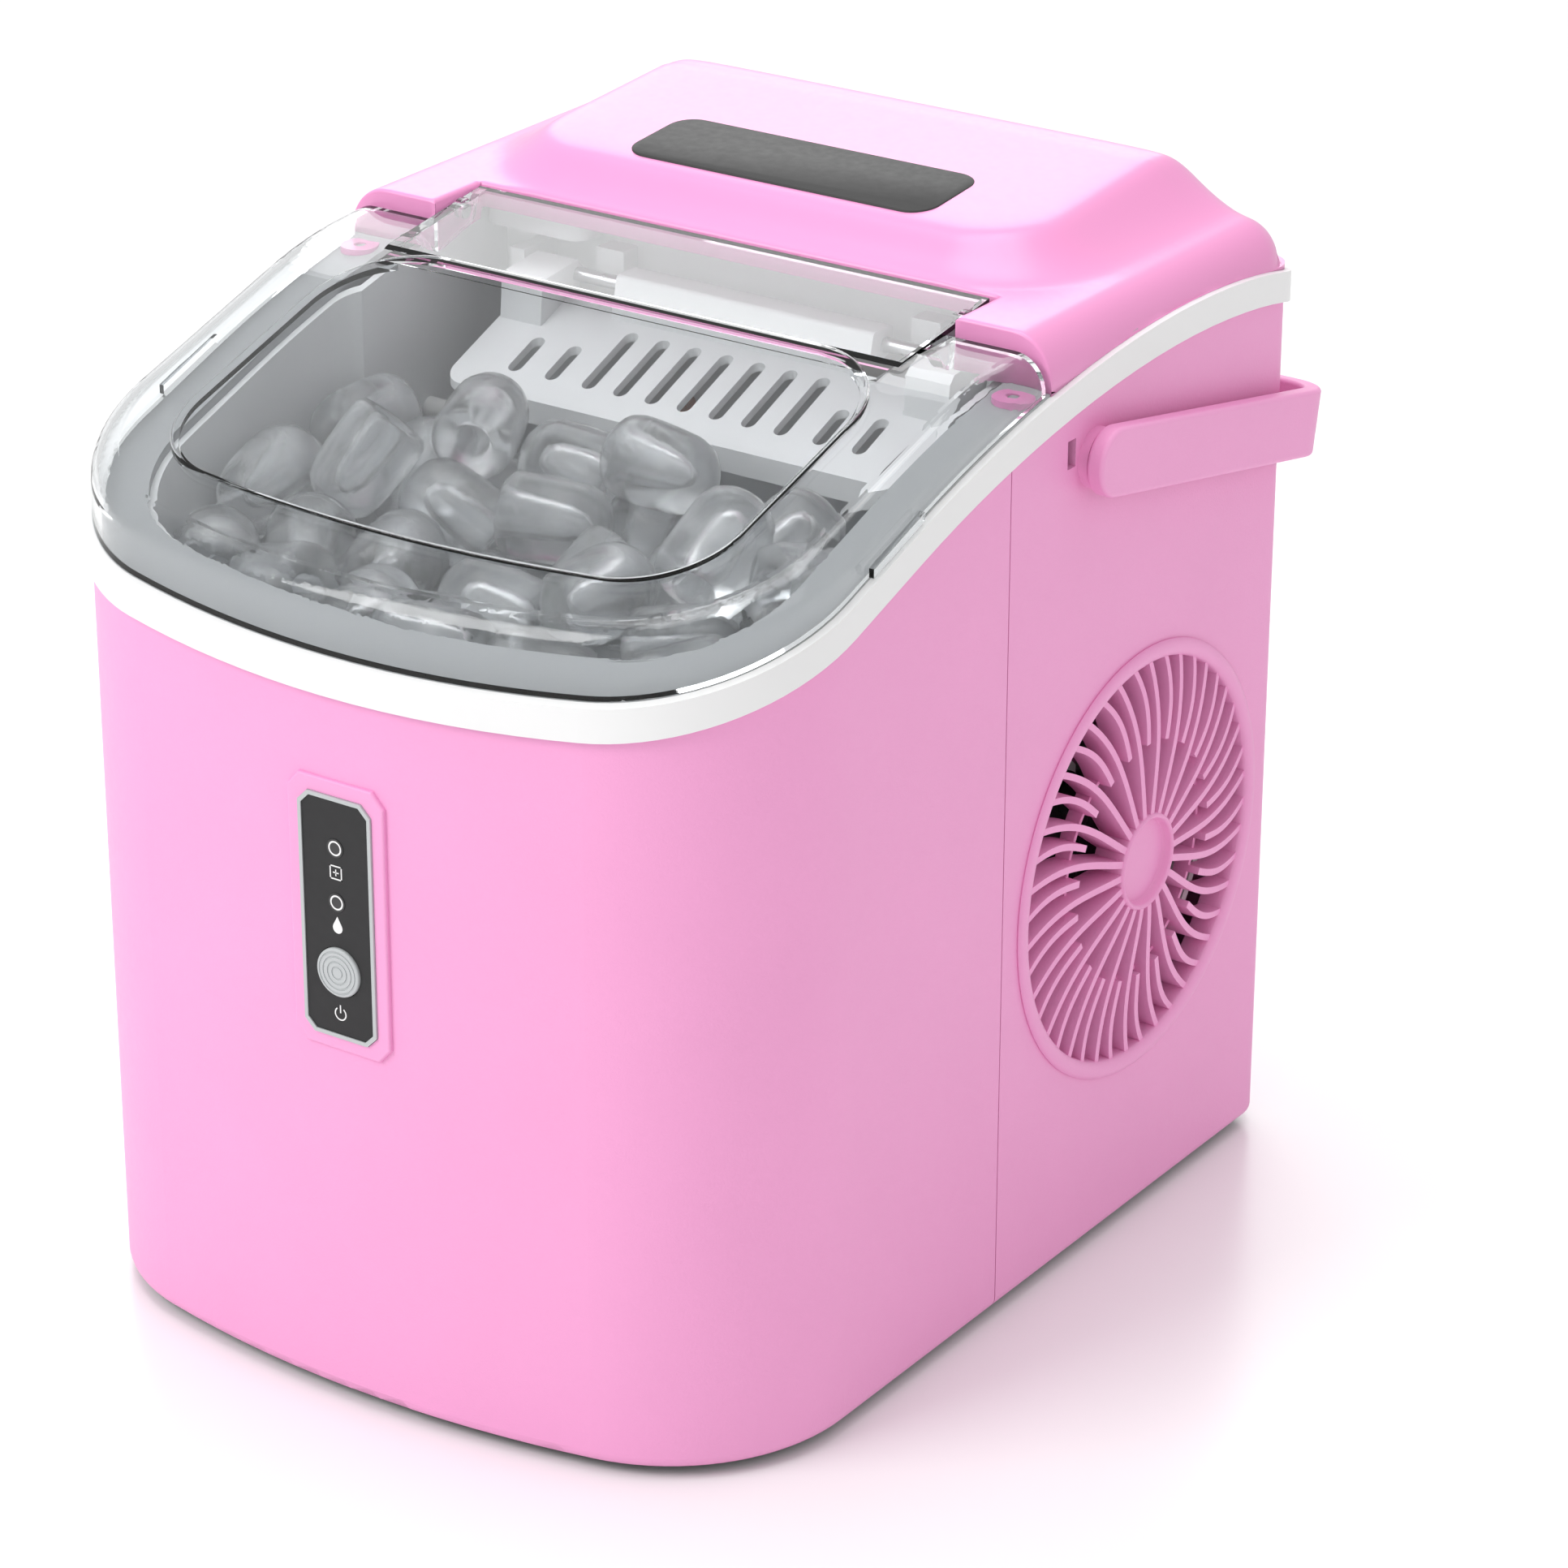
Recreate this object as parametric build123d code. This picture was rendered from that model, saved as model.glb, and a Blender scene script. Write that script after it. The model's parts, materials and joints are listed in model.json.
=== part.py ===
from build123d import *
import os
from math import sqrt, sin, cos, tan, atan2, radians, pi

# Countertop bullet-ice maker.  Millimetres, +X to the right of a person facing the front,
# +Y to the back, +Z up.  Everything is laid out from the middle of the front and the
# standing surface, and shifted at the end so that the origin is the middle of the footprint.

# ---------------------------------------------------------------- driving dimensions
HALF_W = 110.5          # half the width of the casing
FRONT_Y = -132.6        # middle of the bowed front
FRONT_R = 318.7         # radius of the bowed front
CORNER_R = 53.0         # front corner radius in plan
REAR_Y = 138.6          # rear wall
REAR_R = 8.0            # rear corner radius in plan
WALL = 2.5              # casing wall
Z_BASE = 2.6            # gap under the casing
SEAM_Y = -1.8           # joint of the front and rear casing halves
SEAM_GAP = 0.4
BAND_OUT = 1.8          # trim band stands proud of the casing
BAND_IN = -0.4
BAND_LAP = 4.6          # height of the casing edge inside the band
DECK_C = 10.4           # deck top above the band's lower edge
DECK_T = 2.4
OPENING_O = -15.1       # deck opening, as an inset of the casing outline
LINER_O = -17.1         # tub wall, as an inset of the casing outline
LINER_T = 2.2
LINER_X = 90.0          # half width of the evaporator bay
BAY_Y = 58.0            # rear wall of the bay
TUB_Z = 60.0            # floor of the tub
SUMP_Z = 142.0          # floor of the sump under the water tray
LID_O = -0.5            # lid outline, as an inset of the casing outline
LID_C = 10.75           # lid rim above the band's lower edge
LID_T = 2.2
LID_R = 9.0             # rounding round the top of the lid
LID_EAR_Y = 14.0        # rear edge of the lid beside the cover's notch
HINGE_Y, HINGE_Z = 25.0, 262.5   # lid hinge axis
NOTCH_X = 82.0          # half width of the notch in the rear cover
COVER_Y = 16.0          # front edge of the rear cover
SHOULDER_Z = 268.4
SHOULDER_R = 12.0
DOME_Z0, DOME_SLOPE = 278.6, 0.072   # height at y = 51 and fore-and-aft slope of the raised top
COVER_T = 2.5
VENT_Y, VENT_Z, VENT_R = 65.8, 108.0, 60.5
PIVOT_Y, PIVOT_Z = 37.5, 230.8   # carry handle pivot
HANDLE_TILT = 11.3      # degrees below level, at rest
ARM_IN, ARM_T, ARM_H = 113.5, 5.0, 18.4
HANDLE_L = 113.0
PANEL_X, PANEL_Z0, PANEL_Z1 = 11.3, 105.8, 171.5
BUTTON_Z, BUTTON_R = 124.1, 6.6
LED_Z = (157.8, 143.1)
TRAY_Y, TRAY_Z = 38.0, 199.0     # water tray axis
PUSH_Y, PUSH_Z = 47.0, 243.0     # ice pusher axis
PLATE_A, PLATE_B = 221.3, 0.39   # pusher plate top: z = A + B*y
Y_SHIFT = 7.86          # the footprint's middle lies this far behind the layout's zero

os.makedirs("parts", exist_ok=True)
X1 = (1, 0, 0)


def save(name, shape):
    solids = []
    items = shape if isinstance(shape, (list, tuple)) else [shape]
    for item in items:
        solids += list(item.solids())
    solids = [Pos(0, -Y_SHIFT, 0) * s for s in solids if s.volume > 0.2]
    shape = solids[0] if len(solids) == 1 else Compound(children=solids)
    export_step(shape, f"parts/{name}.step")


def soft(shape, edges, radius):
    """Fillet, stepping the radius down when the full one does not fit."""
    for k in (1.0, 0.7, 0.4):
        try:
            out = fillet(edges, radius * k)
            if out.volume > 0 and out.is_valid:
                return out
        except Exception:
            pass
    print("fillet left out", radius)
    return shape


# ---------------------------------------------------------------- outline helpers
ARC_Y = FRONT_Y + FRONT_R
CX = HALF_W - CORNER_R
CY = ARC_Y - sqrt((FRONT_R - CORNER_R) ** 2 - CX ** 2)
UX, UY = CX / (FRONT_R - CORNER_R), (CY - ARC_Y) / (FRONT_R - CORNER_R)


def plan(o, rear=None, rear_r=None):
    """Casing outline offset outwards by o; the rear edge can be moved."""
    rc, xs, yf = CORNER_R + o, HALF_W + o, FRONT_Y - o
    yr = REAR_Y + o if rear is None else rear
    rr = max(REAR_R + o, 0.8) if rear_r is None else rear_r
    tx, ty = CX + rc * UX, CY + rc * UY
    am = atan2(UY, UX) / 2
    mx, my = CX + rc * cos(am), CY + rc * sin(am)
    k = rr * (1 - cos(pi / 4))
    e = [
        ThreePointArc((-tx, ty), (0, yf), (tx, ty)),
        ThreePointArc((tx, ty), (mx, my), (xs, CY)),
        Line((xs, CY), (xs, yr - rr)),
        ThreePointArc((xs, yr - rr), (xs - k, yr - k), (xs - rr, yr)),
        Line((xs - rr, yr), (-xs + rr, yr)),
        ThreePointArc((-xs + rr, yr), (-xs + k, yr - k), (-xs, yr - rr)),
        Line((-xs, yr - rr), (-xs, CY)),
        ThreePointArc((-xs, CY), (-mx, my), (-tx, ty)),
    ]
    return Face(Wire(e))


def up(face, z0, z1):
    return extrude(Pos(0, 0, z0) * face, amount=z1 - z0, dir=(0, 0, 1))


def band_low(y):
    """Height of the trim band's lower edge along the casing."""
    if y < -45:
        return 227.5 + 0.347 * (y + 45)
    t = y + 45
    return 227.5 + 0.347 * t - 1.6116e-3 * t ** 2 + 3.854e-6 * t ** 3 - 1.518e-8 * t ** 4


def band_h(y):
    return 10.5 - 1.3 * (y + 132.6) / 265.6


def curve(fn):
    """Side profile y, z = band_low + fn(y), straight ahead of y = -45 and smooth behind."""
    ys = [-45, -20, 5, 30, 55, 80, 105, 130, 150]
    pts = [(0, y, band_low(y) + fn(y)) for y in ys]
    a = (0, -160, band_low(-160) + fn(-160))
    d = Vector(*pts[0]) - Vector(*a)
    s = Spline(*pts, tangents=[d.normalized(), (Vector(*pts[-1]) - Vector(*pts[-2])).normalized()])
    return a, pts[-1], [Line(a, pts[0]), s]


def below(fn, z0=-20):
    a, b, e = curve(fn)
    w = Wire(e + [Line(b, (0, b[1], z0)), Line((0, b[1], z0), (0, a[1], z0)), Line((0, a[1], z0), a)])
    return Pos(-200, 0, 0) * extrude(Face(w), amount=400, dir=X1)


def box(x0, x1, y0, y1, z0, z1):
    return Pos((x0 + x1) / 2, (y0 + y1) / 2, (z0 + z1) / 2) * Box(abs(x1 - x0), abs(y1 - y0), abs(z1 - z0))


def both(shape):
    return [shape, mirror(shape, about=Plane.YZ)]


def rod_x(x0, x1, y, z, r):
    return Pos((x0 + x1) / 2, y, z) * Rot(0, 90, 0) * Cylinder(r, abs(x1 - x0))


def rod_y(y0, y1, x, z, r):
    return Pos(x, (y0 + y1) / 2, z) * Rot(90, 0, 0) * Cylinder(r, abs(y1 - y0))


def rod_z(z0, z1, x, y, r):
    return Pos(x, y, (z0 + z1) / 2) * Cylinder(r, abs(z1 - z0))


def yz_prism(pts, x0, x1):
    w = Polyline(*[(0, p[0], p[1]) for p in pts], close=True)
    return Pos(x0, 0, 0) * extrude(Face(Wire(w.edges())), amount=x1 - x0, dir=X1)


def xz_prism(pts, y0, y1):
    w = Polyline(*[(p[0], 0, p[1]) for p in pts], close=True)
    return Pos(0, y0, 0) * extrude(Face(Wire(w.edges())), amount=y1 - y0, dir=(0, 1, 0))


def tube(points, radii, r):
    path = FilletPolyline(*points, radius=radii)
    start = path @ 0
    return sweep(Plane(origin=start, z_dir=path % 0) * Circle(r), path=path)


# ---------------------------------------------------------------- casing
envelope = up(plan(0), Z_BASE, 300)
envelope = soft(envelope, envelope.faces().sort_by(Axis.Z)[0].edges(), 3.5)
casing = envelope - up(plan(-WALL), Z_BASE - 1, 301)
casing = casing & below(lambda y: BAND_LAP)

surround = xz_prism([(-15, 106), (-15, 171.5), (-11.5, 175.5), (11.5, 175.5), (15, 171.5), (15, 106), (11.5, 102), (-11.5, 102)],
                    FRONT_Y - 0.9, FRONT_Y + 1.6)
surround = soft(surround, surround.faces().sort_by(Axis.Y)[0].edges(), 0.7)
PC = 3.0


def panel_shape(g, y0, y1):
    x, z0, z1, c = PANEL_X + g, PANEL_Z0 - g, PANEL_Z1 + g, PC + 0.41 * g
    return xz_prism([(-x, z0 + c), (-x, z1 - c), (-x + c, z1), (x - c, z1), (x, z1 - c), (x, z0 + c), (x - c, z0), (-x + c, z0)], y0, y1)


front = (casing & box(-150, 150, -150, SEAM_Y - SEAM_GAP / 2, 0, 300)) + surround
front -= panel_shape(0.1, FRONT_Y - 3, FRONT_Y + 6)
save("front_shell", front)

rear = casing & box(-150, 150, SEAM_Y + SEAM_GAP / 2, 150, 0, 300)
rear -= rod_x(100, 115, VENT_Y, VENT_Z, VENT_R - 2.4)
for s in (-1, 1):
    rear -= rod_x(s * 100, s * 115, PIVOT_Y, PIVOT_Z, 4.0)
    rear -= box(s * 100, s * 115, 24.6, 28.4, 231.0, 238.6)
# louvres in the rear wall and in the left side wall
for i in range(13):
    z = 60 + 9.5 * i
    rear -= box(-84, -14, 130, 145, z, z + 3.4)
for i in range(9):
    z = 70 + 9.5 * i
    rear -= box(-115, -105, 30, 100, z, z + 3.4)
GLAND_X, GLAND_Z = 70.0, 26.0
rear -= rod_y(130, 145, GLAND_X, GLAND_Z, 6.5)
SCREWS = [(-98, 24), (98, 24), (-98, 222), (98, 222)]
for x, z in SCREWS:
    rear -= rod_y(130, 145, x, z, 1.6)
save("rear_shell", rear)

base = up(plan(-WALL - 0.1), 3.0, 5.6)
base -= rod_z(0, 10, 0, -60, 12.7)
for i in range(8):
    base -= box(20 + 9 * i - 2, 20 + 9 * i + 2, 30, 90, 0, 10)
save("base_pan", base)

FEET = [(-72, -88), (72, -88), (-88, 116), (88, 116)]
feet = []
for x, y in FEET:
    f = rod_z(0, 3.0, x, y, 9)
    feet.append(soft(f, f.faces().sort_by(Axis.Z)[0].edges(), 0.8))
save("rubber_feet", feet)

screws = []
for x, z in SCREWS:
    head = rod_y(REAR_Y, REAR_Y + 1.8, x, z, 3.3)
    head = soft(head, head.faces().sort_by(Axis.Y)[-1].edges(), 0.9)
    s = head + rod_y(REAR_Y - 7, REAR_Y, x, z, 1.5)
    s -= box(x - 2.0, x + 2.0, REAR_Y + 1.0, REAR_Y + 2, z - 0.4, z + 0.4)
    s -= box(x - 0.4, x + 0.4, REAR_Y + 1.0, REAR_Y + 2, z - 2.0, z + 2.0)
    screws.append(s)
save("case_screws", screws)

gland = rod_y(REAR_Y - 5.5, REAR_Y + 3.5, GLAND_X, GLAND_Z, 6.4) + rod_y(REAR_Y, REAR_Y + 2.5, GLAND_X, GLAND_Z, 9.0)
gland -= rod_y(REAR_Y - 8, REAR_Y + 6, GLAND_X, GLAND_Z, 3.75)
save("cord_gland", gland)

# ---------------------------------------------------------------- trim band and deck
top_of_band = below(band_h)
outer_band = (up(plan(BAND_OUT), 150, 290) - up(plan(0), 140, 300)) & top_of_band
outer_band -= below(lambda y: 1.6 - 0.9 * (y + 132.6) / 265.6)
lip = (up(plan(0), 150, 290) - up(plan(BAND_IN), 140, 300)) & top_of_band
lip -= below(lambda y: BAND_LAP + 0.05)
band = outer_band + lip
save("trim_band", band)

deck = (up(plan(BAND_IN), 150, 290) - up(plan(OPENING_O, rear=BAY_Y + 30, rear_r=5), 140, 300)) & below(lambda y: DECK_C)
deck -= below(lambda y: DECK_C - DECK_T)
edge_lip = (up(plan(OPENING_O + 2.0), 150, 290) - up(plan(OPENING_O, rear=BAY_Y + 30, rear_r=5), 140, 300)) & below(lambda y: DECK_C - 1)
edge_lip -= below(lambda y: DECK_C - DECK_T - 3.0)
deck = (deck + edge_lip) & box(-150, 150, -150, BAY_Y, 0, 300)
save("top_deck", deck)

HINGE_DISC_X = 102.6
disc = rod_z(240, 253.3, HINGE_DISC_X, 9.7, 5.2) - below(lambda y: DECK_C + 0.02)
disc -= rod_z(252.3, 254, HINGE_DISC_X, 9.7, 1.7)
disc = soft(disc, disc.edges().filter_by(GeomType.CIRCLE).group_by(Axis.Z)[-1].sort_by(SortBy.RADIUS)[-1], 0.8)
save("hinge_caps", both(disc))

# ---------------------------------------------------------------- rear cover
def shoulder(t):
    """Lower body of the cover, inset by t."""
    x, z, r = HALF_W - t, SHOULDER_Z - t, SHOULDER_R - t
    k = r * (1 - cos(pi / 4))
    e = [
        Line((-x, 0, 200), (-x, 0, z - r)), ThreePointArc((-x, 0, z - r), (-x + k, 0, z - k), (-x + r, 0, z)),
        Line((-x + r, 0, z), (x - r, 0, z)), ThreePointArc((x - r, 0, z), (x - k, 0, z - k), (x, 0, z - r)),
        Line((x, 0, z - r), (x, 0, 200)), Line((x, 0, 200), (-x, 0, 200)),
    ]
    return extrude(Face(Wire(e)), amount=200, dir=(0, 1, 0))


def rear_profile(t, z, r):
    """Side profile that rounds the top rear edge."""
    y, r = REAR_Y - t, r - t
    k = r * (1 - cos(pi / 4))
    e = [
        Line((0, -20, 200), (0, -20, z)), Line((0, -20, z), (0, y - r, z)),
        ThreePointArc((0, y - r, z), (0, y - k, z - k), (0, y, z - r)),
        Line((0, y, z - r), (0, y, 200)), Line((0, y, 200), (0, -20, 200)),
    ]
    return Pos(-150, 0, 0) * extrude(Face(Wire(e)), amount=300, dir=X1)


def rrect(x0, x1, y0, y1, r, z):
    w = Polyline((x0, y0), (x1, y0), (x1, y1), (x0, y1), close=True)
    f = Face(Wire(w.edges()))
    f = fillet(f.vertices(), r)
    return Pos(0, 0, z) * f


def dome(t):
    """Raised top with sloping front and sides, inset by t."""
    side = t * 1.414 - t
    fr = t / sin(radians(35)) - t
    low = rrect(-108.0 + side + t, 108.0 - side - t, 19.0 + fr + t, 190, 30, 256.4)
    high = rrect(-74.4 + side + t, 74.4 - side - t, 67.0 + fr + t, 190, 9, 290.0)
    d = loft([low.faces()[0] if hasattr(low, "faces") else low, high.faces()[0]], ruled=True)
    top = yz_prism([(-20, 200), (-20, DOME_Z0 - DOME_SLOPE * 71 - t), (200, DOME_Z0 + DOME_SLOPE * 149 - t), (200, 200)], -150, 150)
    return d & top


def cover_volume(t):
    outline = up(plan(-t), 200, 300)
    low = shoulder(t) & rear_profile(t, SHOULDER_Z - t, 14)
    high = dome(t)
    if t == 0:
        high = soft(high, high.edges().filter_by(lambda e: e.center().Z > 276 and e.center().Y < 160), 11)
    high = high & rear_profile(t, 300, 16)
    high = high & rear_profile(t, 284.1 - t, 22)
    v = (low + high) & outline
    if t == 0:
        foot = v.edges().filter_by(lambda e: abs(e.center().Z - SHOULDER_Z) < 0.4 and e.center().Y > 20 and e.center().Y < 120
                                   and abs(e.center().X) < 101)
        v = soft(v, foot, 9)
    return v


outer_cover = cover_volume(0)
inner_cover = cover_volume(COVER_T)


def notch(t):
    return box(-NOTCH_X - t, NOTCH_X + t, -50, HINGE_Y + 11 + t, 200, 300) + rod_x(-NOTCH_X - t, NOTCH_X + t, HINGE_Y, HINGE_Z, 12.9 + t)


outer_cover = outer_cover & box(-150, 150, COVER_Y, 160, 200, 300)
outer_cover -= notch(0)
inner_cover = inner_cover & box(-150, 150, COVER_Y + COVER_T, 160, 200, 300)
inner_cover -= notch(COVER_T)
cover = outer_cover - inner_cover
cover -= below(lambda y: band_h(y) + 0.05)
cover -= (up(plan(BAND_IN + 0.1), 150, 300) & below(lambda y: DECK_C + 0.05)) & box(-150, 150, -150, BAY_Y + 0.1, 0, 300)
cover -= box(-NOTCH_X + 0.1, NOTCH_X - 0.1, 30, 50, 200, 260.4)
WIN = rrect(-48.1, 48.1, 53.4, 82.7, 7, 270)
win = up(Pos(0, 0, -270) * WIN, 260, 300)


def slab(z_up, z_dn):
    return yz_prism([(-20, DOME_Z0 - DOME_SLOPE * 71 + z_dn), (-20, DOME_Z0 - DOME_SLOPE * 71 + z_up),
                     (200, DOME_Z0 + DOME_SLOPE * 149 + z_up), (200, DOME_Z0 + DOME_SLOPE * 149 + z_dn)], -150, 150)


cover -= win & slab(5, -1.4)
for s in (-1, 1):
    cover -= rod_x(s * 78, s * 90, HINGE_Y, HINGE_Z, 2.0)
cover = max(cover.solids(), key=lambda q: q.volume)
save("rear_cover", cover)
window = up(Pos(0, 0, -270) * rrect(-48.0, 48.0, 53.5, 82.6, 6.9, 270), 260, 300) & slab(-0.1, -1.35)
save("cover_window", window)

pins = []
for s in (-1, 1):
    pins.append(rod_x(s * 78.2, s * 88, HINGE_Y, HINGE_Z, 2.0) + rod_x(s * 84.6, s * 88, HINGE_Y, HINGE_Z, 3.4))
save("lid_hinge_pins", pins)

# ---------------------------------------------------------------- lid
def lid_body(t):
    """Arched shell volume inset by t: straight rim, rounded shoulder, top that levels out at the rear."""
    e = [
        Line((0, -150, 150), (0, -150, 220.2 - t)), Line((0, -150, 220.2 - t), (0, -24, 258.0 - t)),
        Bezier((0, -24, 258.0 - t), (0, -14.7, 260.8 - t), (0, -5.3, 262.55 - t), (0, 4, 263.2 - t)),
        Line((0, 4, 263.2 - t), (0, 50, 266.4 - t)), Line((0, 50, 266.4 - t), (0, 50, 150)), Line((0, 50, 150), (0, -150, 150)),
    ]
    v = up(plan(LID_O - t, rear=45, rear_r=1.0), 160, 290) & (Pos(-150, 0, 0) * extrude(Face(Wire(e)), amount=300, dir=X1))
    rim = v.edges().filter_by(lambda q: q.center().Z > 216 and q.center().Y < 44 and not (abs(q.center().X) < 1 and q.center().Y > -120)
                              and abs((q @ 0).Z - (q @ 1).Z) < 60 and max((q @ 0).Z, (q @ 1).Z) > 216 and min((q @ 0).Z, (q @ 1).Z) > 216)
    return soft(v, rim, LID_R - t)


def lid_plateau(t):
    """Raised panel of the lid, inset by t."""
    a, y0, y1, b = 85.0 - t, -111.0 + t, -8.2 - t, 7.3
    e = [ThreePointArc((-a, y0 + b), (0, y0), (a, y0 + b)), Line((a, y0 + b), (a, y1)), Line((a, y1), (-a, y1)), Line((-a, y1), (-a, y0 + b))]
    f = Face(Wire(e))
    f = fillet(f.vertices(), 27 - t)
    return up(f, 150, 300) & yz_prism([(-130, 150), (-130, 249.9 - 0.30 * 74 - t), (30, 249.9 + 0.30 * 86 - t), (30, 150)], -100, 100)


lid_outer = lid_body(0)
lid_inner = lid_body(LID_T)
plateau = lid_plateau(0)
plateau = soft(plateau, plateau.edges().filter_by(lambda q: min((q @ 0).Z, (q @ 1).Z) > 216), 0.9)
tongue = yz_prism([(-14, 259), (-6, 262.6), (34, 268.0), (34, 265.6), (0, 259)], -80.6, 80.6)
under_tongue = yz_prism([(-14, 200), (-14, 260.4), (-5.7, 260.4), (36, 266.0 - 0.1), (36, 200)], -78.4, 78.4)
lid = lid_outer + tongue + plateau
lid -= (box(-150, 150, LID_EAR_Y, 80, 100, 300) - box(-80.6, 80.6, 0, 80, 90, 310))
lid -= box(-150, 150, 34, 80, 100, 300)
lid -= lid_inner & box(-150, 150, -160, 2, 100, 300)
lid -= lid_inner & box(78.4, 150, -160, LID_EAR_Y + 3, 100, 300) & box(82.8, 150, -160, 80, 100, 300)
lid -= lid_inner & box(-150, -82.8, -160, LID_EAR_Y + 3, 100, 300)
lid -= lid_plateau(LID_T)
lid -= under_tongue
lid -= below(lambda y: LID_C)
# side lugs of the tongue, cut away below a line from the rim up to the hinge
for s in (-1, 1):
    x0, x1 = (78.4, 82.8) if s > 0 else (-82.8, -78.4)
    lid -= yz_prism([(-20, 200), (-20, 262.5), (5.5, 261.3), (12.0, 254.8), (14.6, 254.8), (25, 257.9), (27.3, 258.5), (29.6, 262.5), (30.6, 266.2), (60, 270), (60, 200)], x0, x1) & \
        (box(-150, 150, 2, 80, 100, 300))
    lug = rod_x(s * 78.4, s * 80.6, HINGE_Y, HINGE_Z, 4.6)
    lid = lid + (lug & box(-150, 150, 0, 34, 200, 268))
    lid -= rod_x(s * 76, s * 84, HINGE_Y, HINGE_Z, 2.06)
# finger tabs on both sides
for s in (-1, 1):
    tab = (up(plan(0.9), 150, 290) - up(plan(LID_O - 0.5), 140, 300)) & box(s * 100, s * 115, -64.5, -42.5, 0, 300)
    tab = (tab & below(lambda y: LID_C + 2.4)) - below(lambda y: LID_C)
    lid = lid + tab
lid = max(lid.solids(), key=lambda q: q.volume)
save("lid", lid)

# ---------------------------------------------------------------- control panel
frame_ = panel_shape(0, FRONT_Y - 1.5, FRONT_Y + 2.2) - panel_shape(-1.0, FRONT_Y - 4, FRONT_Y + 6)
frame_ += panel_shape(0, FRONT_Y + 1.2, FRONT_Y + 2.2) - panel_shape(-2.5, FRONT_Y - 4, FRONT_Y + 6)
save("panel_frame", frame_)
face_ = panel_shape(-1.05, FRONT_Y - 1.2, FRONT_Y + 1.1)
face_ -= rod_y(FRONT_Y - 6, FRONT_Y + 6, 0, BUTTON_Z, BUTTON_R + 0.2)
for z in LED_Z:
    face_ -= rod_y(FRONT_Y - 6, FRONT_Y + 6, 0, z, 2.55)
save("panel_face", face_)
leds = []
for z in LED_Z:
    leds.append(rod_y(FRONT_Y - 1.35, FRONT_Y + 7, 0, z, 2.5))
save("led_lenses", leds)
button = rod_y(FRONT_Y - 2.0, FRONT_Y + 1.6, 0, BUTTON_Z, BUTTON_R)
button = soft(button, button.faces().sort_by(Axis.Y)[0].edges(), 0.5)
for r in (1.6, 3.0, 4.4, 5.6):
    button -= (rod_y(FRONT_Y - 2.2, FRONT_Y - 1.8, 0, BUTTON_Z, r + 0.25) - rod_y(FRONT_Y - 2.3, FRONT_Y - 1.7, 0, BUTTON_Z, r - 0.25))
button += rod_y(FRONT_Y + 1.6, FRONT_Y + 5.6, 0, BUTTON_Z, 2.4)
save("power_button", button)
board = box(-9.5, 9.5, FRONT_Y + 10.2, FRONT_Y + 11.8, 110, 167)
board += box(-3, 3, FRONT_Y + 7.2, FRONT_Y + 10.2, BUTTON_Z - 3, BUTTON_Z + 3) + rod_y(FRONT_Y + 6.6, FRONT_Y + 7.2, 0, BUTTON_Z, 1.7)
for z in LED_Z:
    board += rod_y(FRONT_Y + 7.4, FRONT_Y + 10.2, 0, z, 1.5)
save("button_board", board)

# ---------------------------------------------------------------- tub
def tub(e):
    a = up(plan(LINER_O + e, rear=-2 + e, rear_r=12), TUB_Z - e, 300)
    a = soft(a, a.faces().sort_by(Axis.Z)[0].edges(), 10 + e)
    b = box(-LINER_X - e, LINER_X + e, -60, BAY_Y + e, 168 - e, 300)
    c = box(-72 - e, 72 + e, -14 - e, BAY_Y + e, SUMP_Z - e, 200)
    return a + b + c


inner_tub = tub(0)
liner = tub(LINER_T) - inner_tub
rear_wall = box(-LINER_X - LINER_T, LINER_X + LINER_T, BAY_Y, BAY_Y + LINER_T, 200, 262)
liner = (liner & below(lambda y: DECK_C - DECK_T - 0.1)) + rear_wall
liner -= up(plan(OPENING_O + 2.05, rear=150), 150, 290) - up(plan(OPENING_O - 0.05, rear=148), 140, 300) - below(lambda y: DECK_C - DECK_T - 3.1)
liner -= rod_x(60, 100, TRAY_Y, TRAY_Z, 3.06) + rod_x(-100, -60, TRAY_Y, TRAY_Z, 3.06)
liner -= rod_x(-100, -60, 22, 206, 3.0)
liner -= rod_y(50, 70, -30, 209, 3.0) + rod_y(50, 70, 44, 209, 3.0)
liner -= rod_z(50, 70, 0, -60, 9.0)
# vertical guide ribs of the basket on each side wall
for s in (-1, 1):
    for y in (-72, -22):
        liner += (rod_z(100, 205, s * (HALF_W + LINER_O + 1.3), y, 3.0) & inner_tub) & below(lambda yy: -2)
liner = max(liner.solids(), key=lambda q: q.volume)
save("tub_liner", liner)

drain = rod_z(5.8, 57.6, 0, -60, 12.0) - rod_z(0, 70, 0, -60, 9.0)
save("drain_tube", drain)
plug = rod_z(3.0, 15, 0, -60, 8.95) + rod_z(1.0, 3.0, 0, -60, 11.6) - box(-7, 7, -61.2, -58.8, 0.5, 2.2)
save("drain_plug", plug)
seal = rod_z(3.2, 5.5, 0, -60, 12.5) - rod_z(0, 10, 0, -60, 9.1)
save("drain_gasket", seal)

# ---------------------------------------------------------------- ice basket
def basket_face(o, rear, r, z):
    return Pos(0, 0, z) * plan(o, rear=rear, rear_r=r)


B_Z0, B_Z1 = 104.0, 192.0


def basket_vol(t, z0, z1):
    return loft([basket_face(-30 - t, -12 - t, 14 - t, z0), basket_face(-22 - t, -6 - t, 16 - t, z1)], ruled=True)


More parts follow.
